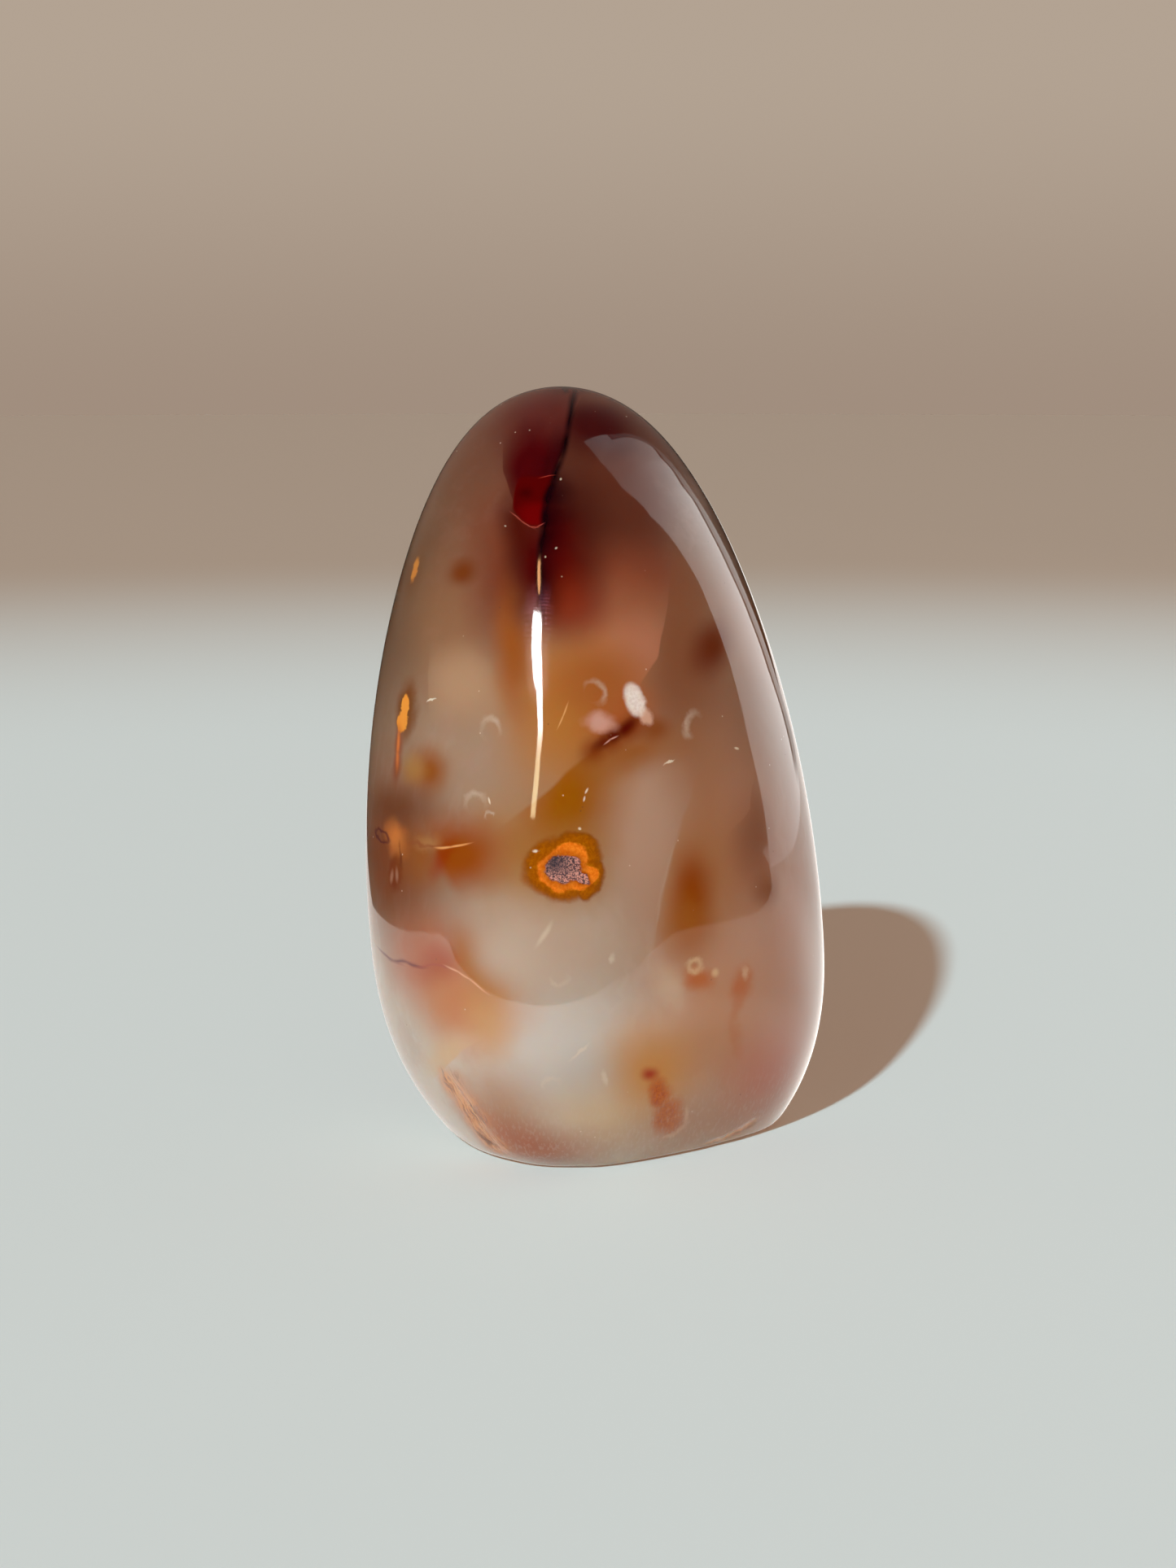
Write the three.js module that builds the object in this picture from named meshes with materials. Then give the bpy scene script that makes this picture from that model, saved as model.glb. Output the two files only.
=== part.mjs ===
// Carnelian freeform: one polished stone that stands on its flat cut base.
// Millimetres, +Z up. The side with the soft ridge and the eye looks along -Y, +X is to the right of it.
import * as THREE from 'three';

// Overall form
const HEIGHT = 80;
const HALF_WIDTH = 25;
const HALF_DEPTH = 20.3;
const WIDEST_AT = 20.6; // height of the belly

// Below the belly the sides draw in as part of a rounder curve that would close this far under it
const BELLY_REACH = 29.1;
const BELLY_POWER = 2.37;
const BASE_EDGE = 0.6; // softened edge of the cut base

// Above the belly it is an ellipse, a little slimmer at the shoulders and blunter at the crown
const SHOULDER_TRIM = 0.037;
const CROWN_FILL = 0.14;
const CROWN_ROUND = 14; // the soft faces fade out over this much of the top

// The middle of the cross sections
const FOOT_X = 2.4;
const LEAN_LEFT = 5.4; // at the crown
const SWING_BACK = 11.5; // at the crown, growing with the square of the height
const BACK_FLATNESS = 0.1;

// Six soft faces lie around each cross section: where each one points in degrees from +X and how far
// out it lies, first at the foot and then at the crown. The first two meet in the ridge in front.
const FACES = {
  frontRight: { foot: [-58, 0.76], crown: [-64, 0.77] },
  frontLeft: { foot: [-137, 1.1], crown: [-119, 0.97] },
  right: { foot: [-23, 0.9], crown: [-12, 0.75] },
  backRight: { foot: [48, 0.95], crown: [48, 0.95] },
  back: { foot: [105, 0.95], crown: [105, 0.95] },
  left: { foot: [185, 1.07], crown: [164, 1.3] },
};
const ROUNDING = 5; // a higher power makes the edges between the faces tighter

// Fineness
const AROUND = 88;
const RINGS_BELOW = 13;
const RINGS_ABOVE = 38;
const RINGS_EDGE = 3;
const DEGREES = 360; // a section is measured in steps of one degree

const RAD = Math.PI / 180;
const mix = (a, b, t) => a + (b - a) * t;
const clamp01 = (t) => Math.min(Math.max(t, 0), 1);

// Distance from the middle to the rounded outline of the six faces, in one direction
function reach(angle, height) {
  const t = height / HEIGHT;
  let sum = 0;
  for (const face of Object.values(FACES)) {
    const points = mix(face.foot[0], face.crown[0], t) * RAD;
    const distance = mix(face.foot[1], face.crown[1], t);
    sum += Math.max(0, Math.cos(angle - points) / distance) ** ROUNDING;
  }
  return sum ** (-1 / ROUNDING);
}

// One cross section, stretched so that it runs from -1 to 1 both ways
function unitSection(height) {
  const points = [];
  for (let i = 0; i < DEGREES; i += 1) {
    const r = reach(i * RAD, height);
    points.push([r * Math.cos(i * RAD), r * Math.sin(i * RAD)]);
  }
  const xs = points.map((p) => p[0]);
  const ys = points.map((p) => p[1]);
  const left = Math.min(...xs);
  const right = Math.max(...xs);
  const front = Math.min(...ys);
  const back = Math.max(...ys);
  const faces = Math.sqrt(clamp01((HEIGHT - height) / CROWN_ROUND));
  return (angle) => {
    const r = reach(angle, height);
    const x = (2 * r * Math.cos(angle) - left - right) / (right - left);
    const y = (2 * r * Math.sin(angle) - front - back) / (back - front);
    return [mix(Math.cos(angle), x, faces), mix(Math.sin(angle), y, faces)];
  };
}

// How wide the stone is at a height, as a share of its width at the belly
function fullness(height) {
  if (height >= WIDEST_AT) {
    const up = clamp01((height - WIDEST_AT) / (HEIGHT - WIDEST_AT));
    return Math.sqrt(1 - up ** 2) * (1 - SHOULDER_TRIM * up ** 2 + CROWN_FILL * up ** 6);
  }
  const down = (WIDEST_AT - height) / BELLY_REACH;
  return Math.sqrt(1 - down ** BELLY_POWER);
}

function ring(height) {
  const section = unitSection(height);
  const up = height / HEIGHT;
  const below = Math.max(0, BASE_EDGE - height);
  const inset = BASE_EDGE - Math.sqrt(BASE_EDGE ** 2 - below ** 2);
  const wide = HALF_WIDTH * fullness(height) - inset;
  const deep = HALF_DEPTH * fullness(height) - inset;
  const points = [];
  for (let i = 0; i < AROUND; i += 1) {
    const [x, y] = section((i / AROUND) * 2 * Math.PI);
    const flatter = BACK_FLATNESS * ((1 + y) / 2) ** 2;
    points.push(new THREE.Vector3(
      FOOT_X - LEAN_LEFT * up + wide * x,
      SWING_BACK * up ** 2 + deep * (y - flatter),
      height,
    ));
  }
  return points;
}

// Heights of the rings: the softened base edge, the belly, then closer and closer towards the crown
const heights = [];
for (let i = 0; i < RINGS_EDGE; i += 1) {
  heights.push(BASE_EDGE * (1 - Math.cos((i / RINGS_EDGE) * 90 * RAD)));
}
for (let i = 0; i < RINGS_BELOW; i += 1) {
  heights.push(mix(BASE_EDGE, WIDEST_AT, i / RINGS_BELOW));
}
for (let i = 0; i < RINGS_ABOVE; i += 1) {
  heights.push(mix(WIDEST_AT, HEIGHT, Math.sin((i / RINGS_ABOVE) * 90 * RAD)));
}

// Closed skin: the flat base, the rings joined by bands, the crown
const rings = heights.map(ring);
const vertices = rings.flat();
const base = vertices.length;
const middle = new THREE.Vector3();
rings[0].forEach((p) => middle.addScaledVector(p, 1 / AROUND));
vertices.push(middle);
const crown = vertices.length;
vertices.push(new THREE.Vector3(FOOT_X - LEAN_LEFT, SWING_BACK, HEIGHT));

const triangles = [];
const last = (rings.length - 1) * AROUND;
for (let i = 0; i < AROUND; i += 1) {
  const next = (i + 1) % AROUND;
  triangles.push(base, next, i);
  for (let k = 0; k < last; k += AROUND) {
    triangles.push(k + i, k + next, k + AROUND + next);
    triangles.push(k + i, k + AROUND + next, k + AROUND + i);
  }
  triangles.push(last + i, last + next, crown);
}

const skin = new THREE.BufferGeometry().setFromPoints(vertices);
skin.setIndex(triangles);

// The origin lies on the base plane, under the middle of the stone
skin.computeBoundingBox();
const centre = skin.boundingBox.getCenter(new THREE.Vector3());
skin.translate(-centre.x, -centre.y, 0);
skin.computeVertexNormals();

const stone = new THREE.Mesh(
  skin,
  new THREE.MeshStandardMaterial({ color: '#b39a87', roughness: 0.12, metalness: 0 }),
);
stone.name = 'stone';

const part = new THREE.Group();
part.name = 'carnelian_freeform';
part.add(stone);

export default part;
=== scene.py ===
# %% [markdown]
# # A polished carnelian freeform
#
# The stone is one piece of chalcedony, ground to a leaning teardrop and polished on every side but the
# one it stands on. The measured form comes in as a fixed frame. Everything below gives that form a
# smooth skin, the small flaws of a real surface, and the colours that lie in the stone.

# %% The frame
import math

import bmesh
import bpy
from mathutils import Matrix, Vector
from mathutils.bvhtree import BVHTree


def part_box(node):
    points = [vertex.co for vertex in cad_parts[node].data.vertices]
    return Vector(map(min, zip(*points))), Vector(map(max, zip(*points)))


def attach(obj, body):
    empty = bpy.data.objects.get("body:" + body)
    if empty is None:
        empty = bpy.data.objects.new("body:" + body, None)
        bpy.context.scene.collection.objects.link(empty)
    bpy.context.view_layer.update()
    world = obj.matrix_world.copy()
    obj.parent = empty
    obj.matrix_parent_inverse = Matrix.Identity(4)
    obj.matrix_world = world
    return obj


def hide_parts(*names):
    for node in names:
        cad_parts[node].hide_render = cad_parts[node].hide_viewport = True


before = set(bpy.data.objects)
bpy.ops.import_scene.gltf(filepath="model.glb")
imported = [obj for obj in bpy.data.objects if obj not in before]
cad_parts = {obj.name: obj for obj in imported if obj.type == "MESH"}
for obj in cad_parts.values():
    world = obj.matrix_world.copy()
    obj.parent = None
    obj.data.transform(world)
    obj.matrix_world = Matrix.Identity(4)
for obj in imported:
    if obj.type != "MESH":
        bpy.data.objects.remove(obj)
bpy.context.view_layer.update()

MM = 0.001
cad_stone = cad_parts["stone"]
low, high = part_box("stone")
size = high - low
print("the stone measures", [round(s / MM, 1) for s in size], "mm")

# %% [markdown]
# The camera comes first, because the marks of this stone are easiest to name by where they show in the
# picture. It stands about a hand's span in front of the stone, a little above its top, and looks down
# by ten degrees. With the place, the tilt and the lens known, a ray through any pixel meets the stone
# in one point, and that point is where the mark really is.

# %% The camera
PICTURE = (1445, 1927)
LENS = 56.04
SENSOR = 36.0
VIEWER = Vector((-0.94, -257.4, 83.9)) * MM
TILT = math.radians(10.1)

bpy.ops.object.camera_add(location=VIEWER, rotation=(math.radians(90) - TILT, 0, 0))
camera = bpy.context.object
camera.data.lens = LENS
camera.data.sensor_width = SENSOR
camera.data.dof.use_dof = False
bpy.context.scene.camera = camera
bpy.context.view_layer.update()
seen_right, seen_up, seen_back = (camera.matrix_world.to_3x3().col[i].normalized() for i in range(3))
focal = LENS / SENSOR * max(PICTURE)
print("one millimetre of the stone's front is about", round(focal * MM / abs(VIEWER.y), 1), "pixels")

# %% Where a pixel of the picture lies on the stone
skin_tree = BVHTree.FromPolygons(
    [v.co for v in cad_stone.data.vertices],
    [p.vertices for p in cad_stone.data.polygons],
)


def through(px, py):
    """The ray of one pixel."""
    aside = (px - PICTURE[0] / 2) / focal
    above = (PICTURE[1] / 2 - py) / focal
    return (seen_right * aside + seen_up * above - seen_back).normalized()


def seen(px, py):
    """What one pixel shows of the stone: the point, the way it faces, and the viewer's right and up."""
    point, facing, _, _ = skin_tree.ray_cast(VIEWER, through(px, py))
    return point, facing, seen_right, seen_up


def seen_row(*pixels):
    """What each pixel of a row shows."""
    return [seen(*pixel) for pixel in pixels]


def around(turn, tall):
    """A point found by walking round the stone: degrees from its right side and millimetres up."""
    outward = Vector((math.cos(math.radians(turn)), math.sin(math.radians(turn)), 0))
    start = Vector((0, 0, tall * MM)) + outward
    point, facing, _, _ = skin_tree.ray_cast(start, -outward)
    return point, facing, Vector((-outward.y, outward.x, 0)), Vector((0, 0, 1))


middle_of_the_eye = seen(693, 1068)
print("the eye lies at", [round(c / MM, 1) for c in middle_of_the_eye[0]], "mm")

# %% [markdown]
# ## The form
#
# A polished stone has no flat spot and no tight corner, so it wants few control points and a surface
# that flows between them. The skin is drawn as a cage of sixteen columns: a ring at the foot is extruded
# upwards and each new ring is moved and scaled to the measured form at its height. Subdivision makes the
# cage round, a shrinkwrap lays it on the measured form while it is still coarse, and a second
# subdivision then gives a surface with even curvature. A high polish shows every facet, so that is
# worth more here than following the solid to the last hundredth of a millimetre.

# %% A smooth copy of the measured form to wrap onto
def only(piece):
    """Selects one object and makes it the active one."""
    bpy.ops.object.select_all(action="DESELECT")
    piece.select_set(True)
    bpy.context.view_layer.objects.active = piece


def apply_modifier(piece, kind, name, **settings):
    """Adds a modifier, sets it and applies it to the mesh."""
    modifier = piece.modifiers.new(name, kind)
    for key, value in settings.items():
        setattr(modifier, key, value)
    only(piece)
    bpy.ops.object.modifier_apply(modifier=name)


form = bpy.data.objects.new("form", cad_stone.data.copy())
bpy.context.collection.objects.link(form)
only(form)
bpy.ops.object.mode_set(mode="EDIT")
bpy.ops.mesh.select_all(action="SELECT")
bpy.ops.mesh.remove_doubles(threshold=0.002 * MM)
bpy.ops.mesh.tris_convert_to_quads(face_threshold=math.radians(60), shape_threshold=math.radians(60))
bpy.ops.object.mode_set(mode="OBJECT")
apply_modifier(form, "SUBSURF", "rounder", levels=1, render_levels=1)
form_tree = BVHTree.FromPolygons(
    [v.co for v in form.data.vertices],
    [p.vertices for p in form.data.polygons],
)
print("the form to wrap onto has", len(form.data.polygons), "faces")

# %% The section of the form at one height
def reach(height, middle, direction):
    """How far the form goes from the middle in one direction, found from outside."""
    far = 2 * max(size)
    start = Vector((middle.x, middle.y, height)) + direction * far
    place, _, _, distance = form_tree.ray_cast(start, -direction)
    return far - distance if place else 0.0


def section(height):
    """Middle and half sizes of the form at a height, found by looking from its four sides."""
    middle = Vector((low.x + high.x, low.y + high.y, 0)) / 2
    wide = deep = 0.0
    for _ in range(3):
        right = reach(height, middle, Vector((1, 0, 0)))
        left = reach(height, middle, Vector((-1, 0, 0)))
        back = reach(height, middle, Vector((0, 1, 0)))
        front = reach(height, middle, Vector((0, -1, 0)))
        middle += Vector((right - left, back - front, 0)) / 2
        wide = (right + left) / 2
        deep = (back + front) / 2
    return middle, wide, deep


print("half a width at mid height:", round(section(40 * MM)[1] / MM, 1), "mm")

# %% The cage, ring by ring
COLUMNS = 16
RIM = 0.6  # the ground edge of the foot, in millimetres
RING_HEIGHTS = [RIM, 3.5, 8.5, 15, 23, 32, 41, 50, 58, 65, 71, 75.2, 78.2]

foot_middle, foot_wide, foot_deep = section(RIM * MM)
bpy.ops.object.select_all(action="DESELECT")
bpy.ops.mesh.primitive_circle_add(
    vertices=COLUMNS,
    radius=foot_wide,
    fill_type="NOTHING",
    location=(foot_middle.x, foot_middle.y, 0),
)
stone = bpy.context.object
stone.name = "polished_stone"
bpy.ops.object.transform_apply(location=True, rotation=True, scale=True)

bpy.ops.object.mode_set(mode="EDIT")
bpy.ops.mesh.select_all(action="SELECT")
bpy.ops.transform.resize(value=(1, foot_deep / foot_wide, 1), center_override=foot_middle)
before = (foot_middle, foot_wide, foot_deep, 0.0)
for ring_height in RING_HEIGHTS:
    ring_middle, ring_wide, ring_deep = section(ring_height * MM)
    moved = ring_middle - before[0]
    bpy.ops.mesh.extrude_region_move(
        TRANSFORM_OT_translate={"value": (moved.x, moved.y, ring_height * MM - before[3])},
    )
    bpy.ops.transform.resize(
        value=(ring_wide / before[1], ring_deep / before[2], 1),
        center_override=(ring_middle.x, ring_middle.y, ring_height * MM),
    )
    before = (ring_middle, ring_wide, ring_deep, ring_height * MM)
bpy.ops.mesh.fill_grid(span=COLUMNS // 4)
print("the cage has", len(RING_HEIGHTS) + 1, "rings of", COLUMNS)

# %% The ground foot closes the cage
FOOT_INSET = 1.2 * MM


def select_where(piece, wanted):
    """Selects the vertices of the piece in edit mode that the test wants."""
    mesh = bmesh.from_edit_mesh(piece.data)
    for vertex in mesh.verts:
        vertex.select = bool(wanted(vertex.co))
    mesh.select_flush_mode()
    bmesh.update_edit_mesh(piece.data)


bpy.ops.mesh.select_mode(type="VERT")
select_where(stone, lambda co: co.z < RIM / 2 * MM)
bpy.ops.mesh.select_mode(type="EDGE")
bpy.ops.mesh.extrude_region_move(TRANSFORM_OT_translate={"value": (0, 0, 0)})
bpy.ops.transform.resize(
    value=(1 - FOOT_INSET / foot_wide, 1 - FOOT_INSET / foot_deep, 1),
    center_override=(foot_middle.x, foot_middle.y, 0),
)
bpy.ops.mesh.fill_grid(span=COLUMNS // 4)
bpy.ops.mesh.select_all(action="SELECT")
bpy.ops.mesh.normals_make_consistent(inside=False)
bpy.ops.object.mode_set(mode="OBJECT")
print("the closed cage has", len(stone.data.polygons), "faces")

# %% Round it, wrap it, round it again
apply_modifier(stone, "SUBSURF", "round", levels=2, render_levels=2)
apply_modifier(stone, "SHRINKWRAP", "wrap", target=form, wrap_method="NEAREST_SURFACEPOINT")
apply_modifier(stone, "SUBSURF", "smooth", levels=2, render_levels=2)
bpy.data.objects.remove(form)
only(stone)
bpy.ops.object.shade_smooth()
print("the skin has", 2 * len(stone.data.polygons), "triangles")

# %% [markdown]
# The skin is now perfectly even, which no stone is that was ground by hand. A cloud texture pushes it in
# by a few hundredths of a millimetre in wide soft waves. The eye, the rust vein and a spot at the foot
# stayed a little deeper than the polish, and small chips broke out of the rim, so these places are
# pushed in too. Nothing is pushed out, and the stone stays inside its measured form.

# %% Wide soft waves of hand grinding
waves = bpy.data.textures.new("waves", "CLOUDS")
waves.noise_scale = 14 * MM
apply_modifier(
    stone,
    "DISPLACE",
    "hand_ground",
    texture=waves,
    texture_coords="LOCAL",
    strength=0.06 * MM,
    mid_level=1.0,
)

# %% How far a place is from a path
def distance_to_path(place, path):
    """How far a place is from a row of points joined by straight lines."""
    nearest = (place - path[0]).length
    for start, end in zip(path, path[1:]):
        along = end - start
        share = min(max((place - start).dot(along) / along.length_squared, 0), 1)
        nearest = min(nearest, (place - start - along * share).length)
    return nearest


# %% Hollows
pitted = bpy.data.textures.new("pitted", "CLOUDS")
pitted.noise_scale = 0.9 * MM


def hollow(name, pixels, wide, deep, rough=False):
    """Pushes the skin in along a row of pixels: deepest along it, nothing half the width away."""
    path = [seen(px, py)[0] for px, py in pixels]
    group = stone.vertex_groups.new(name=name)
    count = 0
    for vertex in stone.data.vertices:
        near = 1 - distance_to_path(vertex.co, path) / (wide / 2 * MM)
        if near > 0:
            group.add([vertex.index], near * near * (3 - 2 * near), "REPLACE")
            count += 1
    settings = {"vertex_group": name, "strength": -deep * MM, "mid_level": 0.0}
    if rough:
        settings = {"vertex_group": name, "strength": deep * MM, "mid_level": 1.0}
        settings.update(texture=pitted, texture_coords="LOCAL")
    apply_modifier(stone, "DISPLACE", name, **settings)
    stone.vertex_groups.remove(stone.vertex_groups[name])
    print(name, "takes", count, "points of the skin")


EYE_PIXELS = [(688, 1068), (704, 1070)]
VEIN_PIXELS = [(548, 1324), (562, 1345), (578, 1366), (594, 1392), (612, 1416)]
BLOB_PIXELS = [(813, 1346), (822, 1374)]
CHIP_PIXELS = [(872, 1405), (888, 1401), (906, 1392), (925, 1380)]

hollow("eye_hollow", EYE_PIXELS, 5.0, 0.13)
hollow("vein_hollow", VEIN_PIXELS, 3.6, 0.3, rough=True)
hollow("foot_hollow", BLOB_PIXELS, 3.2, 0.2, rough=True)
hollow("rim_chips", CHIP_PIXELS, 1.6, 0.35, rough=True)

# %% [markdown]
# ## Colour that lies in the stone
#
# Carnelian is milky quartz with iron in it. The iron sits in clouds, spots and cracks inside the stone,
# so its colours belong to places in space and not to a picture wrapped round it. Every mark is therefore
# an ellipsoid in the stone's own coordinates: where the surface cuts it, the mark shows. A soft edge
# stands for iron that lies deeper, behind milky quartz, and a crisp edge for what reaches the polish.

# %% A material and its nodes
finish = bpy.data.materials.new("carnelian")
finish.use_nodes = True
tree = finish.node_tree
tree.nodes.clear()


def node(kind, settings=None, inputs=None):
    """A shader node with its settings, and sockets that are set to values or linked."""
    made = tree.nodes.new("ShaderNode" + kind)
    for key, value in (settings or {}).items():
        setattr(made, key, value)
    for key, value in (inputs or {}).items():
        socket = made.inputs[key]
        if isinstance(value, bpy.types.NodeSocket):
            tree.links.new(value, socket)
        else:
            socket.default_value = value
    return made


# %% Sums, steps and colours
def maths(operation, first, second=0.0, third=0.0):
    """One sum of up to three numbers or sockets."""
    return node("Math", {"operation": operation}, {0: first, 1: second, 2: third}).outputs[0]


def ramp(value, start, end, at_start=0.0, at_end=1.0):
    """A smooth step between two values."""
    return node(
        "MapRange",
        {"interpolation_type": "SMOOTHSTEP"},
        {"Value": value, "From Min": start, "From Max": end, "To Min": at_start, "To Max": at_end},
    ).outputs["Result"]


def hue(red, green, blue):
    """A colour as a screen shows it, 0 to 255, turned into what the shader works with."""
    parts = [c / 255 for c in (red, green, blue)]
    return [c / 12.92 if c <= 0.04045 else ((c + 0.055) / 1.055) ** 2.4 for c in parts] + [1.0]


def mix(share, under, above):
    """One colour over another, as strongly as the share says."""
    return node("Mix", {"data_type": "RGBA"}, {0: share, 6: under, 7: above}).outputs[2]


# %% Marks put together
def either(first, *others):
    """Where any of several marks is."""
    for other in others:
        first = maths("MAXIMUM", first, other)
    return first


def both(first, *others):
    """Where several marks are at once."""
    for other in others:
        first = maths("MULTIPLY", first, other)
    return first


def outside(share):
    """Where a mark is not."""
    return maths("SUBTRACT", 1.0, share)


# %% Noise, and the parts of a vector
def noise(where, scale, detail=2.0, roughness=0.5):
    """Random waves between 0 and 1. The scale says how many of them fit in one unit."""
    settings = {"Vector": where, "Scale": scale, "Detail": detail, "Roughness": roughness}
    return node("TexNoise", {}, settings).outputs["Fac"]


def parts(vector):
    """The three parts of a vector, each on its own."""
    split = node("SeparateXYZ", {}, {0: vector})
    return split.outputs["X"], split.outputs["Y"], split.outputs["Z"]


# %% Places in the stone, in millimetres, with the wander that nature gives every edge
object_place = node("TexCoord").outputs["Object"]
place_mm = node("VectorMath", {"operation": "SCALE"}, {0: object_place, "Scale": 1 / MM}).outputs[0]


def wandering(step, amount, detail=2.0):
    """The place, pushed about by noise: step is the size of the waves, amount how far they push."""
    waving = node("TexNoise", {}, {"Vector": place_mm, "Scale": 1 / step, "Detail": detail})
    return node(
        "VectorMath",
        {"operation": "MULTIPLY_ADD"},
        {0: waving.outputs["Color"], 1: (2 * amount,) * 3, 2: moved_back(amount)},
    ).outputs[0]


def moved_back(amount):
    """The noise lies round one half, so the place is first moved back by as much."""
    return node("VectorMath", {"operation": "SUBTRACT"}, {0: place_mm, 1: (amount,) * 3}).outputs[0]


calm = wandering(9.0, 1.1)
ragged = wandering(2.2, 0.8, detail=4.0)
bitten = wandering(0.8, 0.4, detail=3.0)

# %% An ellipse laid on the surface
def laid_on(at, wide, tall, turn):
    """An ellipse as the viewer sees it, laid on the surface: its two axes there and half lengths."""
    _, facing, right, up = at
    angle = math.radians(turn)
    along = (right * math.cos(angle) + up * math.sin(angle)) / (wide / 2)
    above = (up * math.cos(angle) - right * math.sin(angle)) / (tall / 2)
    first = (right - facing * right.dot(facing)).normalized()
    second = facing.cross(first)
    one_one = along.dot(first) ** 2 + above.dot(first) ** 2
    two_two = along.dot(second) ** 2 + above.dot(second) ** 2
    one_two = along.dot(first) * along.dot(second) + above.dot(first) * above.dot(second)
    lean = math.atan2(2 * one_two, one_one - two_two) / 2
    c, s = math.cos(lean), math.sin(lean)
    half_one = (one_one * c * c + 2 * one_two * s * c + two_two * s * s) ** -0.5
    half_two = (one_one * s * s - 2 * one_two * s * c + two_two * c * c) ** -0.5
    axis = first * c + second * s
    return (axis, facing.cross(axis), facing), (half_one, half_two)


# %% A round mark
def ellipsoid(point, axes, halves, field):
    """How deep a place is in an ellipsoid: 1 in its middle, 0.5 on its surface, 0 twice as far out."""
    inside = node(
        "Mapping",
        {"vector_type": "TEXTURE"},
        {
            "Vector": field or calm,
            "Location": point / MM,
            "Rotation": Matrix(axes).transposed().to_euler(),
            "Scale": [2 * half for half in halves],
        },
    ).outputs[0]
    return node("TexGradient", {"gradient_type": "SPHERICAL"}, {"Vector": inside}).outputs["Fac"]


def with_edge(depth, soft):
    """Full inside, nothing outside. With soft at 1 it fades from the middle out, near 0 it is sharp."""
    return ramp(depth, 0.5 - soft / 2, 0.5 + soft / 2)


def spot(at, wide, tall, turn=0.0, soft=0.5, deep=4.0, field=None):
    """A round mark, its size in millimetres as the viewer sees it, turned anticlockwise by degrees."""
    axes, halves = laid_on(at, wide, tall, turn)
    return with_edge(ellipsoid(at[0], axes, (*halves, deep), field), soft)


# %% A line
OVERLAP = 1.5  # each stroke of a line is this much longer than its part of the line


def line(points, wide, soft=0.4, deep=1.2, field=None):
    """A crack or a vein through several points, a slim ellipsoid from each one to the next."""
    strokes = []
    for start, end in zip(points, points[1:]):
        along = end[0] - start[0]
        facing = start[1] + end[1]
        facing = (facing - along * facing.dot(along) / along.length_squared).normalized()
        axes = (along.normalized(), facing.cross(along.normalized()), facing)
        halves = (along.length / MM / 2 * OVERLAP, wide / 2, deep)
        strokes.append(ellipsoid((start[0] + end[0]) / 2, axes, halves, field or ragged))
    return with_edge(either(*strokes), soft)


# %% A cut and a crescent
def left_of(start, end, soft=0.15, field=None):
    """The side on the left of a straight cut from one point to another. soft is in millimetres."""
    along = (end[0] - start[0]).normalized()
    side = (start[1] + end[1]).cross(along).normalized()
    distance = node("VectorMath", {"operation": "DOT_PRODUCT"}, {0: field or calm, 1: side})
    here = side.dot(start[0]) / MM
    return ramp(distance.outputs["Value"], here - soft, here + soft)


LOWER_BY = 1.6  # the second mark of a crescent lies this many of its thicknesses lower


def crescent(at, wide, tall, turn=0.0, thick=0.3, soft=0.3):
    """A moon shaped bruise that opens downwards: a round mark without a second one that lies lower."""
    point, facing, right, up = at
    angle = math.radians(turn)
    down = right * math.sin(angle) - up * math.cos(angle)
    lower = (point + down * thick * LOWER_BY * MM, facing, right, up)
    whole = spot(at, wide, tall, turn, soft, 1.0, bitten)
    missing = spot(lower, wide - thick, tall, turn, soft, 1.3, bitten)
    return both(whole, outside(missing))


print("a mark is measured in millimetres of the stone")

# %% [markdown]
# The quartz itself comes first. It is never one colour: faint clouds of grey, beige and rose drift
# through it, darker and browner towards the top and paler near the foot. A noise texture alone looks
# like smoke, so the large steps are drawn with height and with soft ellipsoids, and noise only
# disturbs them.

# %% The milky body
CLOUD_SIZE = 13.0
VEIL_SIZE = 4.5
cloud = noise(calm, 1 / CLOUD_SIZE)
veil = noise(ragged, 1 / VEIL_SIZE, 4.0, 0.6)
height = parts(calm)[2]
wavy_height = maths("MULTIPLY_ADD", cloud, 16.0, maths("SUBTRACT", height, 8.0))

pale_milk = hue(190, 168, 150)
warm_milk = hue(164, 130, 107)
brown_milk = hue(126, 88, 68)
rose_milk = hue(172, 134, 118)

colour = mix(ramp(wavy_height, 12, 34), pale_milk, warm_milk)
colour = mix(ramp(wavy_height, 46, 68), colour, brown_milk)
colour = mix(maths("MULTIPLY", ramp(veil, 0.48, 0.7), 0.3), colour, rose_milk)

# %% Laying one tone over another
def lay(tone, share, strength=1.0):
    """Lays a tone over the colour so far, where and as strongly as the share says."""
    global colour
    if strength != 1.0:
        share = maths("MULTIPLY", share, strength)
    colour = mix(share, colour, tone)


def tell(what):
    """Says how far the finish has grown."""
    print("with", what, "the finish has", len(tree.nodes), "nodes")


tell("the milky body")

# %% Faint wisps in the milk
drawn_out = {"Vector": ragged, "Rotation": (0.3, 0.5, 0.9), "Scale": (0.1, 0.24, 0.07)}
wisp_place = node("Mapping", {}, drawn_out).outputs[0]
wisp_noise = noise(wisp_place, 1.0, 3.0, 0.55)
off_the_wisp = maths("ABSOLUTE", maths("SUBTRACT", wisp_noise, 0.5))
wisps = both(
    ramp(off_the_wisp, 0.0, 0.07, 1.0, 0.0),
    ramp(cloud, 0.4, 0.55),
    ramp(height, 30, 52, 1.0, 0.0),
)
lay(hue(206, 190, 178), wisps, 0.16)
tell("the wisps")

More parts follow.
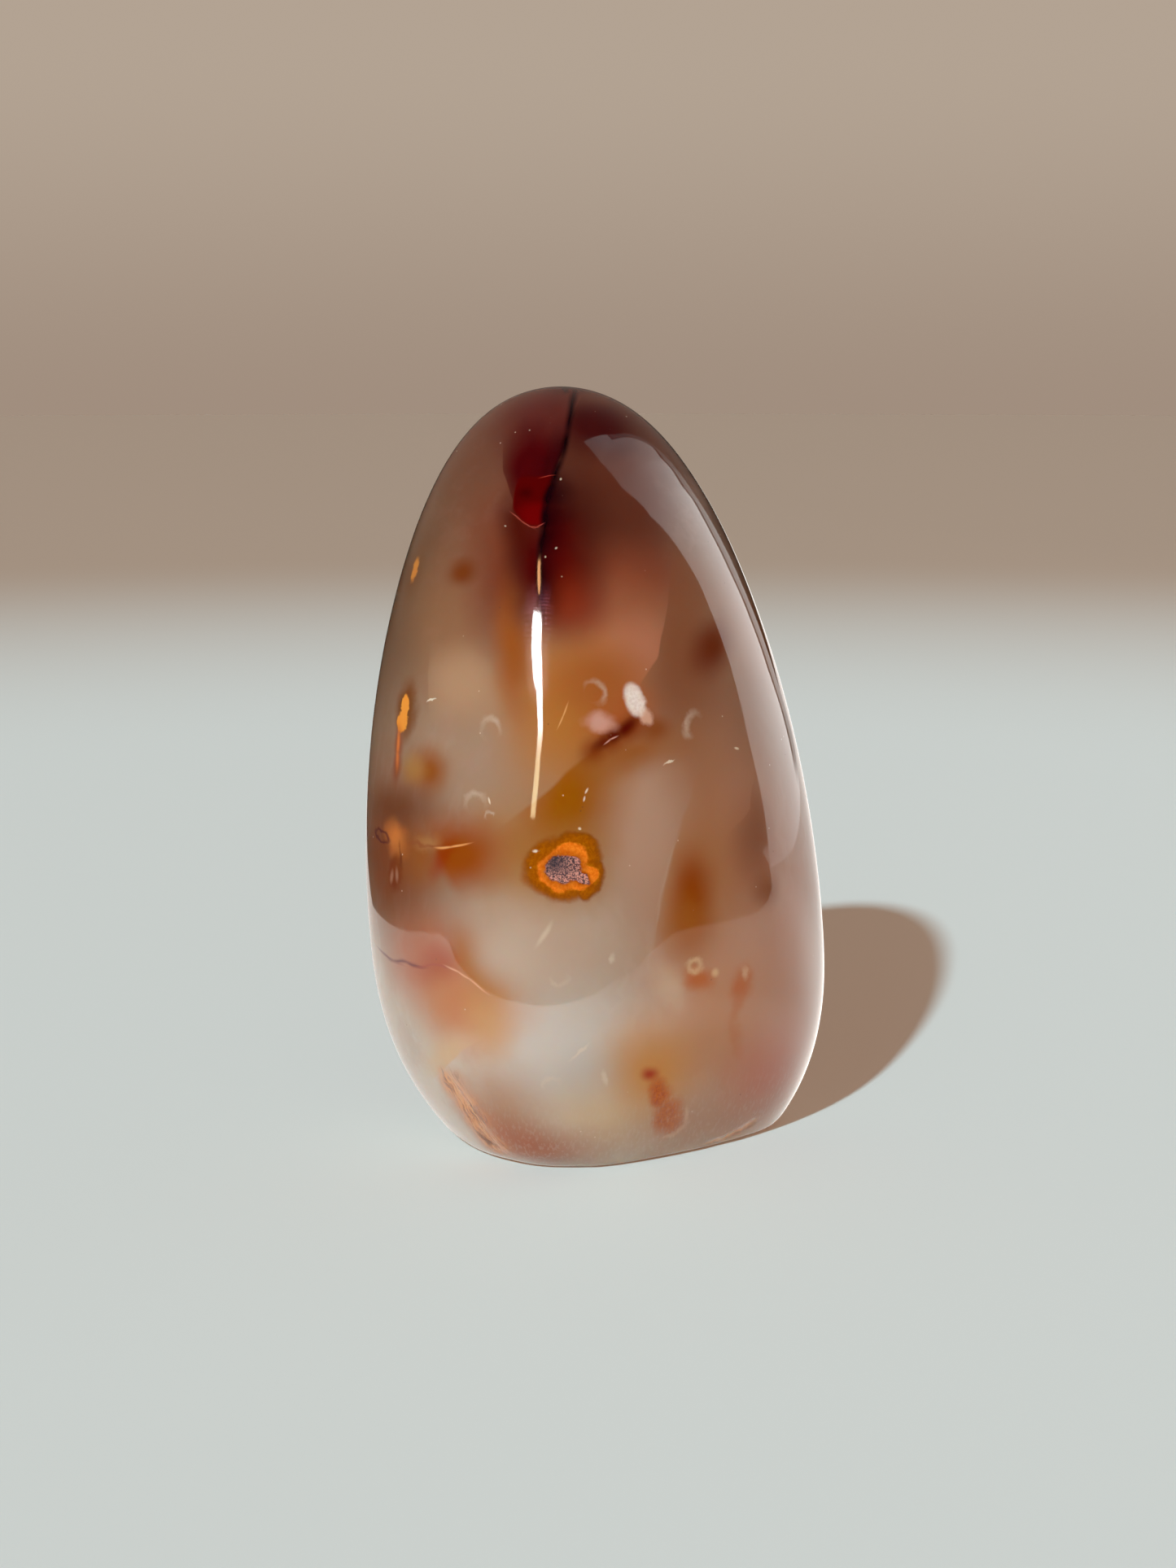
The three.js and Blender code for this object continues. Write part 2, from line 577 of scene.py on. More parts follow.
# %% Drifts of other milk
right_side = seen(870, 900)
lay(hue(152, 104, 80), spot(right_side, 15, 34, soft=0.8, deep=10))
right_low = seen(892, 1010)
lay(hue(178, 124, 96), spot(right_low, 9, 15, soft=1.0, deep=6), 0.9)
outer_right = seen(985, 1180)
lay(hue(184, 124, 98), spot(outer_right, 10, 34, soft=0.8, deep=8), 0.85)
right_corner = seen(925, 1050)
lay(hue(160, 100, 74), spot(right_corner, 4.5, 10, turn=8, soft=0.8, deep=4), 0.8)
below_the_eye = seen(690, 1165)
lay(hue(188, 158, 138), spot(below_the_eye, 18, 12, soft=0.8), 0.9)
milky_middle = seen(790, 1010)
lay(hue(186, 144, 120), spot(milky_middle, 9, 17, soft=0.7), 0.95)
pale_foot = seen(690, 1300)
lay(hue(190, 173, 162), spot(pale_foot, 15, 13, soft=0.8), 0.95)
beige_foot = seen(745, 1372)
lay(hue(206, 172, 138), spot(beige_foot, 10, 6, soft=0.95), 0.85)
# painted shade: the left flank darker brown, against the sun that lights it from the front left
painted_shade_left_flank = seen(496, 730)
lay(hue(108, 76, 54), spot(painted_shade_left_flank, 7, 32, turn=-12, soft=0.9, deep=8), 0.85)
warm_left = seen(560, 775)
lay(hue(154, 104, 68), spot(warm_left, 9, 14, soft=0.9), 0.6)
left_of_the_cap = seen(596, 650)
lay(hue(126, 68, 44), spot(left_of_the_cap, 8, 17, turn=-8, soft=1.0, deep=6), 0.6)
pale_drift = seen(568, 838)
drift_edge = seen_row((527, 815), (528, 872))
lay(hue(184, 142, 110), both(spot(pale_drift, 6.5, 6.0, soft=0.8), left_of(*drift_edge, 0.2)), 0.7)
tell("the drifting milk")

# %% Warmer milk low on the right
warm_right = seen(890, 1235)
lay(hue(188, 126, 92), spot(warm_right, 13, 21, turn=8, soft=0.9, deep=7), 0.9)
amber_right = seen(868, 1270)
lay(hue(186, 124, 78), spot(amber_right, 9, 11, turn=-25, soft=1.0), 0.6)
pale_wedge = seen(824, 1212)
lay(hue(204, 168, 140), spot(pale_wedge, 2.4, 4.4, turn=28, soft=0.9, field=ragged), 0.7)
tell("the warmer milk")

# %% [markdown]
# A crack runs from the crown down the front. It is the reason for the red: water brought iron in
# through it, so the colour is deepest beside the crack and fades away from it. On its left lies a pocket
# of clear blood red, on its right a maroon shadow that thins into brown.

# %% The red cap
crack = seen_row((705, 484), (699, 529), (692, 562), (682, 594), (672, 621), (666, 651), (665, 685),
                 (666, 735))
left_of_crack = either(left_of(crack[5], crack[1], 0.1), left_of(crack[7], crack[5], 0.1))
right_of_crack = outside(left_of_crack)

crown = seen(712, 492)
lay(hue(104, 58, 42), spot(crown, 25, 12, soft=0.6, deep=22))
maroon_side = seen(752, 612)
lay(hue(100, 47, 31), spot(maroon_side, 13.5, 24, soft=0.7, deep=9))
red_brown = seen(762, 712)
lay(hue(138, 66, 40), spot(red_brown, 12, 6.5, soft=1.0, deep=5), 0.9)
cap_middle = seen(668, 520)
lay(hue(94, 36, 30), both(spot(cap_middle, 9.5, 10, soft=0.6), left_of_crack))
cap_right = seen(735, 522)
lay(hue(66, 10, 12), both(spot(cap_right, 9, 5.5, turn=-14, soft=0.7), right_of_crack), 0.95)
tell("the red cap")

# %% [markdown]
# Below the maroon the stone lights up: a rose orange glow that ends on its right in a crisp step. That
# step is an old fracture, healed and clear, and a plane that cuts an ellipsoid gives just that.

# %% The glow
glow = seen(762, 806)
glow_ends = seen_row((824, 700), (815, 766), (809, 808), (785, 850))
before_the_step = both(*(left_of(lower, upper) for upper, lower in zip(glow_ends, glow_ends[1:])))
lay(hue(180, 110, 76), both(spot(glow, 13, 12, soft=0.8, deep=6), before_the_step), 0.95)
rose_in_the_glow = seen(785, 812)
lay(hue(184, 118, 90), both(spot(rose_in_the_glow, 5.5, 7, soft=1.0), before_the_step), 0.7)
behind_the_step = seen(838, 800)
lay(hue(138, 80, 50), both(spot(behind_the_step, 7, 15, soft=0.8), outside(before_the_step)), 0.9)
tell("the glow")

# %% The amber
amber_middle = seen(698, 880)
lay(hue(178, 112, 50), spot(amber_middle, 12, 15, soft=0.8))
amber_by_the_pods = seen(738, 838)
lay(hue(166, 90, 38), spot(amber_by_the_pods, 8, 6, soft=0.9), 0.85)
left_of_the_eye = seen(628, 1040)
lay(hue(168, 114, 62), spot(left_of_the_eye, 8, 9, soft=0.9), 0.75)

diagonal = seen_row((740, 913), (668, 970))
under_the_diagonal = left_of(diagonal[0], diagonal[1], 0.25)
dark_amber = seen(698, 985)
lay(hue(158, 88, 6), both(spot(dark_amber, 9.0, 13, turn=-18, soft=0.8), under_the_diagonal))
tell("the amber")

# %% [markdown]
# The crack comes after the glow, because the iron beside it lies over everything else: nearly black at
# the crack, deep red a little farther out, and brown where it thins on the left. On its right the dark
# is painted shadow that the crack casts inside the stone.

# %% The red on the left of the crack
brown_side = seen(616, 705)
lay(hue(120, 54, 30), spot(brown_side, 5.4, 13, soft=1.0, deep=4), 0.9)
amber_side = seen(629, 798)
lay(hue(156, 80, 20), spot(amber_side, 3.0, 11, turn=2, soft=1.0, deep=3), 0.9)
maroon_stem = seen(656, 688)
lay(hue(80, 4, 5), both(spot(maroon_stem, 5.0, 11.2, turn=2, soft=0.9, deep=4), left_of_crack))
beside_the_pocket = seen(635, 650)
lay(hue(76, 8, 2), spot(beside_the_pocket, 3.0, 7.0, turn=4, soft=1.0, deep=3), 0.85)
blood = seen(654, 572)
step_top = seen(613, 546)
step_middle = seen(618, 579)
step_foot = seen(634, 612)
red_step = left_of(step_middle, step_top, 0.1)
red_slope = left_of(step_foot, step_middle, 0.1)
blood_share = both(
    spot(blood, 7.0, 8.4, soft=0.6),
    left_of_crack,
    outside(red_step),
    outside(red_slope),
)
lay(hue(76, 3, 6), blood_share)
dark_side = seen(686, 560)
lay(hue(54, 1, 5), both(spot(dark_side, 2.6, 6, turn=-14, soft=1.0), left_of_crack), 0.9)
tell("the red on the left")

# %% The blood red pocket
pocket = seen(661, 608)
pocket_top_right = seen(690, 583)
pocket_top_left = seen(638, 584)
pocket_low_left = seen(634, 622)
pocket_cut = both(
    left_of(pocket_top_right, pocket_top_left, 0.15),
    left_of(pocket_top_left, pocket_low_left, 0.15),
    left_of_crack,
)


def pocket_shape():
    """The whole pocket, before its straight sides are cut."""
    return spot(pocket, 4.8, 6.8, turn=-4, soft=0.1)


lay(hue(86, 1, 1), both(pocket_shape(), pocket_cut))
pocket_light = seen(661, 634)
lit_part = spot(pocket_light, 3.6, 3.0, turn=-10, soft=0.5)
lay(hue(112, 1, 2), both(lit_part, pocket_shape(), pocket_cut), 0.9)
pocket_shade = seen(646, 606)
shaded_part = spot(pocket_shade, 1.5, 1.2, turn=20, soft=0.9, field=ragged)
lay(hue(54, 0, 1), both(shaded_part, left_of_crack), 0.7)
tell("the pocket")

# %% The crack itself and the painted shadow on its right
# painted shadow of the crack on its right, laid in the deep red of the iron
crack_shadow_halo = seen(674, 652)
lay(hue(60, 2, 3), both(spot(crack_shadow_halo, 9, 15, soft=1.0, deep=5), right_of_crack))
crack_shadow_foot = seen(686, 706)
lay(hue(92, 3, 1), both(spot(crack_shadow_foot, 6.6, 9, turn=10, soft=1.0, deep=4), right_of_crack), 0.95)
red_fringe = seen(701, 744)
lay(hue(148, 46, 18), both(spot(red_fringe, 5.4, 5.0, turn=-30, soft=1.0, deep=3), right_of_crack), 0.6)
# painted shadow: a wide dark band along the right side of the crack
lay(hue(36, 0, 4), both(line(crack[3:], 3.4, soft=1.0, deep=3.0, field=calm), right_of_crack), 0.95)
lay(hue(22, 0, 4), line(crack, 0.75, soft=0.9, field=calm))
rim_of_pocket = seen_row((634, 632), (641, 641), (651, 648), (658, 649), (665, 645))
lay(hue(196, 84, 70), line(rim_of_pocket, 0.14, soft=0.7, field=calm), 0.55)
top_of_pocket = seen_row((670, 584), (681, 583))
lay(hue(190, 70, 58), line(top_of_pocket, 0.13, soft=0.7, field=calm), 0.55)
tell("the crack")

# %% [markdown]
# Two small pods of white quartz sit in the middle, on a short vein as red as the crack.

# %% The vein under the pods
around_the_pods = seen(765, 882)
lay(hue(172, 88, 40), spot(around_the_pods, 7.0, 4.4, turn=28, soft=0.8), 0.85)
under_the_pods = seen(782, 922)
lay(hue(156, 88, 34), spot(under_the_pods, 8.0, 3.6, turn=14, soft=1.0), 0.9)
right_of_the_pods = seen(808, 896)
lay(hue(138, 64, 10), spot(right_of_the_pods, 2.6, 2.0, turn=15, soft=0.9), 0.8)
vein_stain = seen_row((724, 926), (742, 914), (764, 900), (788, 885))
lay(hue(130, 50, 6), line(vein_stain, 1.9, soft=1.0, deep=1.5, field=calm), 0.95)
red_vein = seen_row((736, 915), (750, 906), (766, 896), (780, 886))
lay(hue(92, 12, 4), line(red_vein, 1.0, soft=0.9, field=calm))
vein_sliver = seen_row((747, 911), (754, 905), (761, 901))
lay(hue(222, 160, 140), line(vein_sliver, 0.14, soft=0.6, field=calm), 0.9)
tell("the red vein")

# %% The pods themselves
grain = noise(place_mm, 3.0, 3.0, 0.6)
white_pod = seen(781, 860)
pod_tail = seen(794, 880)
lay(hue(216, 166, 142), spot(pod_tail, 1.3, 1.8, turn=30, soft=0.4, field=bitten), 0.9)
lay(hue(222, 192, 178), spot(white_pod, 2.1, 3.3, turn=20, soft=0.25))
pod_middle = spot(white_pod, 1.6, 2.7, turn=20, soft=0.5, field=bitten)
lay(hue(226, 202, 190), pod_middle)
lay(hue(238, 220, 210), both(pod_middle, ramp(grain, 0.38, 0.62)), 0.9)
pink_pod = seen(738, 888)
lay(hue(206, 152, 136), spot(pink_pod, 2.9, 1.8, turn=-8, soft=0.6, field=ragged), 0.95)
pod_scratch = seen_row((697, 868), (691, 881), (686, 893))
lay(hue(228, 172, 110), line(pod_scratch, 0.16, soft=0.7, field=calm), 0.8)
tell("the pods")

# %% [markdown]
# The eye is a pocket that filled from its wall inwards: a brown halo soaked into the quartz, then a band
# of bright orange, and in the middle a sponge of tiny purple crystals that the grinding cut open.

# %% The halo of the eye
halo_body = seen(690, 1068)
halo_top = seen(707, 1048)
halo_corner = seen(722, 1078)


def halo_shape(grown, soft):
    """The brown halo, or one that is as much larger all round, in millimetres."""
    return either(
        spot(halo_body, 7.4 + grown, 6.2 + grown, soft=soft, field=ragged),
        spot(halo_top, 5.4 + grown, 4.0 + grown, soft=soft, field=ragged),
        spot(halo_corner, 3.4 + grown, 4.4 + grown, turn=-10, soft=soft, field=ragged),
    )


lay(hue(166, 112, 52), halo_shape(1.4, 0.8), 0.6)
lay(hue(134, 68, 8), halo_shape(0.1, 0.14), 0.95)
inner_halo = halo_shape(-0.6, 0.3)
mottling = ramp(grain, 0.38, 0.62)
lay(hue(160, 82, 0), inner_halo, 0.95)
lay(hue(186, 104, 4), both(inner_halo, mottling), 0.7)
tell("the halo")

# %% The ring of the eye
ring_body = seen(690, 1069)
ring_top = seen(702, 1053)
ring_corner = seen(716, 1078)
orange_ring = either(
    spot(ring_body, 4.6, 4.2, soft=0.1, field=ragged),
    spot(ring_top, 3.4, 2.8, soft=0.1, field=ragged),
    spot(ring_corner, 3.2, 2.4, turn=14, soft=0.1, field=ragged),
)
lay(hue(228, 116, 18), orange_ring)
lay(hue(248, 146, 40), both(orange_ring, mottling), 0.7)
tell("the ring")

# %% The crystals of the eye
CRYSTAL_WALL = hue(52, 10, 34)
CRYSTAL_GLINT = hue(222, 156, 140)
core_body = seen(692, 1068)
core_point = seen(712, 1077)
core_top = seen(701, 1062)


def core_shape(grown, soft):
    """The patch of crystals, or one that is as much larger all round, in millimetres."""
    return either(
        spot(core_body, 3.5 + grown, 2.8 + grown, turn=-4, soft=soft, field=bitten),
        spot(core_point, 2.5 + grown, 1.0 + grown, turn=-36, soft=soft, field=bitten),
        spot(core_top, 2.1 + grown, 1.5 + grown, soft=soft, field=bitten),
    )


crystals = core_shape(0.0, 0.12)
lay(hue(126, 36, 8), core_shape(0.45, 0.5), 0.75)
crystal_grain = noise(place_mm, 5.5, 4.0, 0.8)
lay(CRYSTAL_WALL, crystals)
glittering = ramp(crystal_grain, 0.45, 0.56)
lay(CRYSTAL_GLINT, both(crystals, glittering))
dark_corner = seen(682, 1060)
lay(hue(30, 16, 40), both(spot(dark_corner, 2.4, 1.9, soft=0.9, field=bitten), crystals), 0.8)
tell("the crystals")

# %% [markdown]
# The left flank carries slim pockets of orange, each in a brown stain, and a band of brown with small
# cavities, one of them outlined like a tiny map.

# %% The slim pockets
small_spot = seen(566, 706)
lay(hue(118, 54, 14), spot(small_spot, 2.3, 2.6, soft=0.8), 0.95)
upper_lozenge = seen(509, 699)
lay(hue(112, 72, 44), spot(upper_lozenge, 1.5, 6.0, turn=-14, soft=0.8), 0.8)
lay(hue(196, 122, 52), spot(upper_lozenge, 0.6, 2.6, turn=-14, soft=0.3, field=bitten))
leaf_stain = seen(499, 872)
lay(hue(120, 66, 26), spot(leaf_stain, 2.2, 5.4, turn=-6, soft=0.5, field=ragged), 0.9)
leaf_tip = seen(497, 868)
leaf = seen(494, 886)
leaf_shape = either(
    spot(leaf_tip, 0.8, 2.6, turn=-4, soft=0.15, field=bitten),
    spot(leaf, 1.15, 2.4, turn=-8, soft=0.15, field=bitten),
)
lay(hue(230, 148, 60), leaf_shape)
streak = seen_row((492, 904), (489, 925), (485, 952))
lay(hue(140, 62, 30), line(streak, 1.2, soft=0.9, field=calm), 0.9)
streak_light = seen_row((492, 904), (489, 922), (487, 938))
lay(hue(224, 128, 68), line(streak_light, 0.5, soft=0.9, field=calm), 0.95)
soft_spot = seen(524, 946)
lay(hue(150, 78, 12), spot(soft_spot, 2.9, 4.4, soft=0.9), 0.95)
pale_centre = seen(506, 945)
lay(hue(180, 128, 68), spot(pale_centre, 2.2, 2.8, soft=0.9), 0.85)
tell("the slim pockets")

# %% The brown band and its cavities
brown_band = seen(479, 1054)
lay(hue(124, 64, 34), spot(brown_band, 9.4, 17, turn=4, soft=0.8, deep=6), 0.95)
band_top = seen(482, 990)
lay(hue(108, 60, 34), spot(band_top, 6.0, 3.6, turn=-10, soft=1.0, deep=3), 0.8)
cavity_glow = seen(486, 1032)
lay(hue(206, 120, 58), spot(cavity_glow, 1.9, 3.2, turn=24, soft=0.9, field=ragged), 0.9)
map_cavity = seen(468, 1027)
map_outline = spot(map_cavity, 2.2, 1.2, turn=-38, soft=0.2, field=bitten)
map_inside = spot(map_cavity, 1.7, 0.7, turn=-38, soft=0.3, field=bitten)
lay(hue(84, 38, 40), both(map_outline, outside(map_inside)), 0.8)
slot = seen(485, 1072)
lay(hue(118, 52, 24), spot(slot, 1.6, 3.8, turn=-5, soft=0.35, field=bitten), 0.8)
slot_shadow = seen_row((491, 1046), (492, 1062))
lay(hue(76, 32, 30), line(slot_shadow, 0.4, soft=0.8), 0.8)
fleck_left = seen(481, 1075)
fleck_right = seen(487, 1074)
slot_flecks = either(
    spot(fleck_left, 0.3, 1.1, turn=-4, soft=0.8),
    spot(fleck_right, 0.3, 1.2, turn=4, soft=0.8),
)
lay(hue(190, 140, 112), slot_flecks, 0.5)
tell("the brown band")

# %% The ember beside it
ember_haze = seen(519, 1052)
lay(hue(148, 82, 32), spot(ember_haze, 4.6, 5.0, soft=1.0), 0.85)
ember = seen(566, 1048)
ember_top = seen(533, 1036)
ember_foot = seen(549, 1072)
right_of_the_edge = left_of(ember_top, ember_foot, 0.9)
lay(hue(150, 68, 0), both(spot(ember, 7.6, 6.8, soft=0.75), right_of_the_edge), 0.97)
ember_heart = seen(545, 1052)
lay(hue(146, 40, 2), spot(ember_heart, 1.3, 3.6, turn=-28, soft=1.0), 0.6)
cream_patch = seen(525, 1036)
lay(hue(178, 124, 76), spot(cream_patch, 2.2, 1.3, turn=8, soft=0.9, field=ragged), 0.6)
brown_line = seen_row((508, 1037), (522, 1040), (536, 1040))
lay(hue(142, 76, 44), line(brown_line, 0.3, soft=0.9), 0.7)
bright_line = seen_row((541, 1039), (556, 1037), (573, 1033))
lay(hue(228, 160, 96), line(bright_line, 0.22, soft=0.6, field=calm), 0.9)
tell("the ember")

# %% [markdown]
# On the right the iron is shy: a few amber clouds, and small bubbles with a brown shadow.

# %% The amber clouds on the right
rust = seen(878, 792)
lay(hue(110, 40, 10), spot(rust, 3.4, 5.6, turn=-20, soft=0.9), 0.95)
amber_drift = seen(858, 935)
lay(hue(164, 106, 66), spot(amber_drift, 6, 8, soft=1.0), 0.4)
amber_cloud = seen(852, 1085)
old_break = seen_row((830, 1036), (816, 1068), (808, 1100), (806, 1136))
right_of_the_break = both(
    left_of(old_break[0], old_break[2], 0.25),
    left_of(old_break[1], old_break[3], 0.25),
)
cloud_shape = spot(amber_cloud, 8.0, 13, turn=-6, soft=1.0, deep=5)
lay(hue(168, 104, 56), both(cloud_shape, right_of_the_break), 0.9)
amber_core = seen(852, 1098)
lay(hue(148, 62, 0), spot(amber_core, 3.4, 6.6, soft=1.0))
amber_tail = seen(848, 1140)
lay(hue(164, 90, 26), spot(amber_tail, 4.2, 6.0, soft=1.0), 0.85)
brown_end = seen(943, 1095)
lay(hue(140, 80, 50), spot(brown_end, 2.4, 3.0, soft=0.9), 0.7)
lay(hue(190, 158, 134), line(old_break, 0.22, soft=0.9, field=calm), 0.25)
tell("the amber clouds")

# %% Painted shade at two scallops in the edge of the mirrored band
scallop_top = seen_row((932, 979), (908, 1009))
scallop_low = seen_row((914, 1020), (902, 1064))
shaded_top = seen(925, 1022)
painted_dip_below_the_scallop = both(
    left_of(*scallop_top, 0.1),
    spot(shaded_top, 3.4, 5.6, turn=-10, soft=0.9),
)
painted_dip_right_of_the_scallop = both(
    left_of(*scallop_low, 0.1),
    spot(shaded_top, 3.4, 7.4, soft=0.9),
)
# painted shade where a wave of the polish turns the mirrored pale band away
lay(hue(128, 78, 56), either(painted_dip_below_the_scallop, painted_dip_right_of_the_scallop), 0.5)
tell("the scallop")

# %% The bubbles
bubble_shadow = seen(860, 1203)
lay(hue(184, 92, 16), spot(bubble_shadow, 2.9, 2.1, turn=-15, soft=0.8, field=ragged), 0.95)
bubble = seen(854, 1187)
bubble_hollow = spot(bubble, 0.9, 0.8, soft=0.8, field=bitten)
bubble_ring = both(spot(bubble, 1.6, 1.7, soft=0.4, field=bitten), outside(bubble_hollow))
second_bubble = seen(880, 1198)
lay(hue(218, 176, 132), either(bubble_ring, spot(second_bubble, 0.7, 0.8, soft=0.7)), 0.75)
brown_tick = seen(912, 1212)
lay(hue(184, 94, 30), spot(brown_tick, 1.9, 3.6, turn=-14, soft=0.8, field=ragged), 0.9)
tick_bubble = seen(916, 1196)
lay(hue(210, 166, 132), spot(tick_bubble, 0.6, 1.3, soft=0.8, field=bitten), 0.7)
tick_tail = seen_row((908, 1228), (900, 1258), (905, 1285))
lay(hue(182, 106, 56), line(tick_tail, 1.3, soft=1.0, field=ragged), 0.6)
tell("the bubbles")

# %% The foot on the right
orange_haze = seen(802, 1318)
lay(hue(200, 132, 58), spot(orange_haze, 6.8, 8.6, turn=24, soft=1.0), 0.95)
orange_dot = seen(798, 1317)
lay(hue(170, 52, 0), spot(orange_dot, 1.4, 1.3, soft=0.9))
blob_upper, blob_lower = seen_row(*BLOB_PIXELS)
blob = either(
    spot(blob_upper, 2.0, 3.0, turn=14, soft=0.7, field=ragged),
    spot(blob_lower, 2.8, 3.8, turn=-8, soft=0.6, field=ragged),
)
lay(hue(178, 72, 0), blob, 0.95)
lay(hue(204, 108, 26), both(blob, mottling), 0.8)
blob_edge = seen_row((818, 1398), (830, 1394), (843, 1381), (844, 1366))
lay(hue(228, 194, 168), line(blob_edge, 0.5, soft=0.7, field=bitten), 0.75)
rose_corner = seen(945, 1322)
lay(hue(190, 100, 74), spot(rose_corner, 6.4, 9.5, turn=-25, soft=1.0), 0.7)
foot_haze = seen(870, 1380)
lay(hue(176, 124, 96), spot(foot_haze, 14, 5, turn=8, soft=0.9), 0.6)
rim_chips = seen_row(*CHIP_PIXELS)
lay(hue(232, 184, 148), line(rim_chips, 0.6, soft=0.6, field=bitten), 0.85)
tell("the foot on the right")

# %% [markdown]
# The lower left is the liveliest corner: a rose and amber cloud, cut by a fine purple crack, and under it
# a rough vein of rust that the grinding left a little open.

# %% The rose cloud
rose_cloud = seen(526, 1184)
lay(hue(174, 94, 62), spot(rose_cloud, 8.4, 8.4, turn=10, soft=0.9, deep=6), 0.9)
rose_heart = seen(541, 1192)
lay(hue(152, 44, 16), spot(rose_heart, 3.4, 3.6, turn=-20, soft=1.0), 0.85)
amber_hem = seen(566, 1242)
lay(hue(182, 104, 40), spot(amber_hem, 8.6, 8.0, turn=-8, soft=0.85, deep=5), 0.95)
gold_side = seen(600, 1258)
lay(hue(188, 132, 66), spot(gold_side, 3.6, 5.8, turn=10, soft=1.0, deep=4), 0.65)
amber_by_the_edge = seen(582, 1186)
lay(hue(170, 104, 44), spot(amber_by_the_edge, 2.8, 5.6, turn=28, soft=1.0), 0.65)
pale_by_the_edge = seen(625, 1178)
lay(hue(190, 164, 146), spot(pale_by_the_edge, 5.5, 4.4, soft=0.95), 0.8)
tell("the rose cloud")

# %% The purple crack and the cream corner
purple_crack = seen_row((468, 1166), (484, 1178), (500, 1181), (515, 1187), (535, 1188),
                        (552, 1191))
lay(hue(104, 40, 48), line(purple_crack[:4], 0.3, soft=0.9, field=calm), 0.8)
lay(hue(160, 70, 50), line(purple_crack[3:], 0.24, soft=0.9, field=calm), 0.7)
pale_end = seen_row((549, 1190), (563, 1196), (578, 1206), (594, 1219))
lay(hue(220, 160, 122), line(pale_end, 0.22, soft=0.8, field=calm), 0.8)
cream_foot = seen(543, 1316)
cream_top = seen(580, 1287)
cream_edge = left_of(cream_foot, cream_top, 0.15)
cream = seen(550, 1300)
lay(hue(196, 154, 110), both(spot(cream, 5.0, 3.4, turn=35, soft=0.9), cream_edge), 0.8)
tell("the purple crack")

# %% The rust vein
brown_foot = seen(612, 1372)
lay(hue(166, 112, 78), spot(brown_foot, 6.4, 8.6, turn=34, soft=1.0, deep=4), 0.85)
red_hem = seen(640, 1410)
lay(hue(160, 84, 52), spot(red_hem, 12, 3.6, turn=-14, soft=1.0, deep=5), 0.85)
rust_vein = seen_row(*VEIN_PIXELS)
lay(hue(188, 118, 72), line(rust_vein, 4.2, soft=0.9, deep=2.4), 0.9)
vein_along = (rust_vein[-1][0] - rust_vein[0][0]).normalized()
vein_facing = (rust_vein[2][1] - vein_along * rust_vein[2][1].dot(vein_along)).normalized()
vein_axes = (vein_along, vein_facing.cross(vein_along), vein_facing)
vein_turn = Matrix(vein_axes).transposed().to_euler()
combed = node(
    "Mapping",
    {"vector_type": "TEXTURE"},
    {"Vector": ragged, "Rotation": vein_turn, "Scale": (3.0, 0.5, 1.0)},
).outputs[0]
vein_combs = noise(combed, 1.0, 3.0, 0.6)
vein_pits = both(line(rust_vein, 3.4, soft=0.6, deep=2.4), ramp(vein_combs, 0.45, 0.38))
vein_ridges = both(line(rust_vein, 3.2, soft=0.6, deep=2.4), ramp(vein_combs, 0.47, 0.55))
lay(hue(216, 152, 102), vein_ridges, 0.85)
lay(hue(122, 70, 42), vein_pits, 0.85)
tell("the rust vein")

# %% [markdown]
# The photograph shows one side. The iron goes on round the stone in the same way: the crack crosses the
# crown and runs down the back in its own red, and clouds, slim pockets and one more small eye lie where
# a stone of this kind would have them.

# %% Over the crown and down the back
def from_above(x, y):
    """A point of the crown, found from above, in millimetres."""
    start = Vector((x * MM, y * MM, 1))
    point, facing, _, _ = skin_tree.ray_cast(start, Vector((0, 0, -1)))
    return point, facing, Vector((1, 0, 0)), Vector((0, 1, 0))


back_maroon = around(84, 62)
lay(hue(92, 40, 30), spot(back_maroon, 20, 26, soft=0.9, deep=8), 0.9)
back_crack = [from_above(-3.2, 9.5), around(93, 75), around(95, 69), around(92, 62), around(94, 55),
              around(90, 49)]
# painted shade: a broad dark band along the back crack, over its red
lay(hue(76, 10, 8), line(back_crack, 4.0, soft=1.0, deep=3.0, field=calm), 0.9)
lay(hue(26, 2, 5), line(back_crack, 0.7, soft=0.9))
back_blood = around(101, 63)
lay(hue(104, 8, 4), spot(back_blood, 4.4, 7.0, turn=10, soft=0.4, field=ragged), 0.85)
back_glow = around(82, 44)
lay(hue(172, 104, 66), spot(back_glow, 15, 13, turn=15, soft=0.8, deep=6), 0.9)
back_amber = around(102, 33)
lay(hue(150, 84, 22), spot(back_amber, 9, 11, turn=-20, soft=0.9, deep=5), 0.9)
back_milk = around(70, 24)
lay(hue(178, 150, 130), spot(back_milk, 14, 16, soft=0.9, deep=6), 0.85)
back_rose = around(60, 8)
lay(hue(184, 124, 108), spot(back_rose, 13, 10, soft=0.95, deep=6), 0.85)
back_rust = around(118, 12)
lay(hue(160, 94, 46), spot(back_rust, 10, 9, turn=30, soft=0.9, deep=5), 0.85)
tell("the back")

# %% A small eye on the back
back_eye = around(76, 30)
lay(hue(138, 74, 16), spot(back_eye, 4.4, 3.8, turn=15, soft=0.16, field=ragged), 0.95)
back_ring = spot(back_eye, 3.0, 2.5, turn=15, soft=0.15, field=ragged)
lay(hue(208, 112, 22), back_ring)
back_crystals = spot(back_eye, 1.9, 1.4, turn=25, soft=0.2, field=bitten)
lay(CRYSTAL_WALL, back_crystals, 0.95)
lay(CRYSTAL_GLINT, both(back_crystals, glittering), 0.95)
open_crystals = either(crystals, back_crystals)
tell("the small eye")

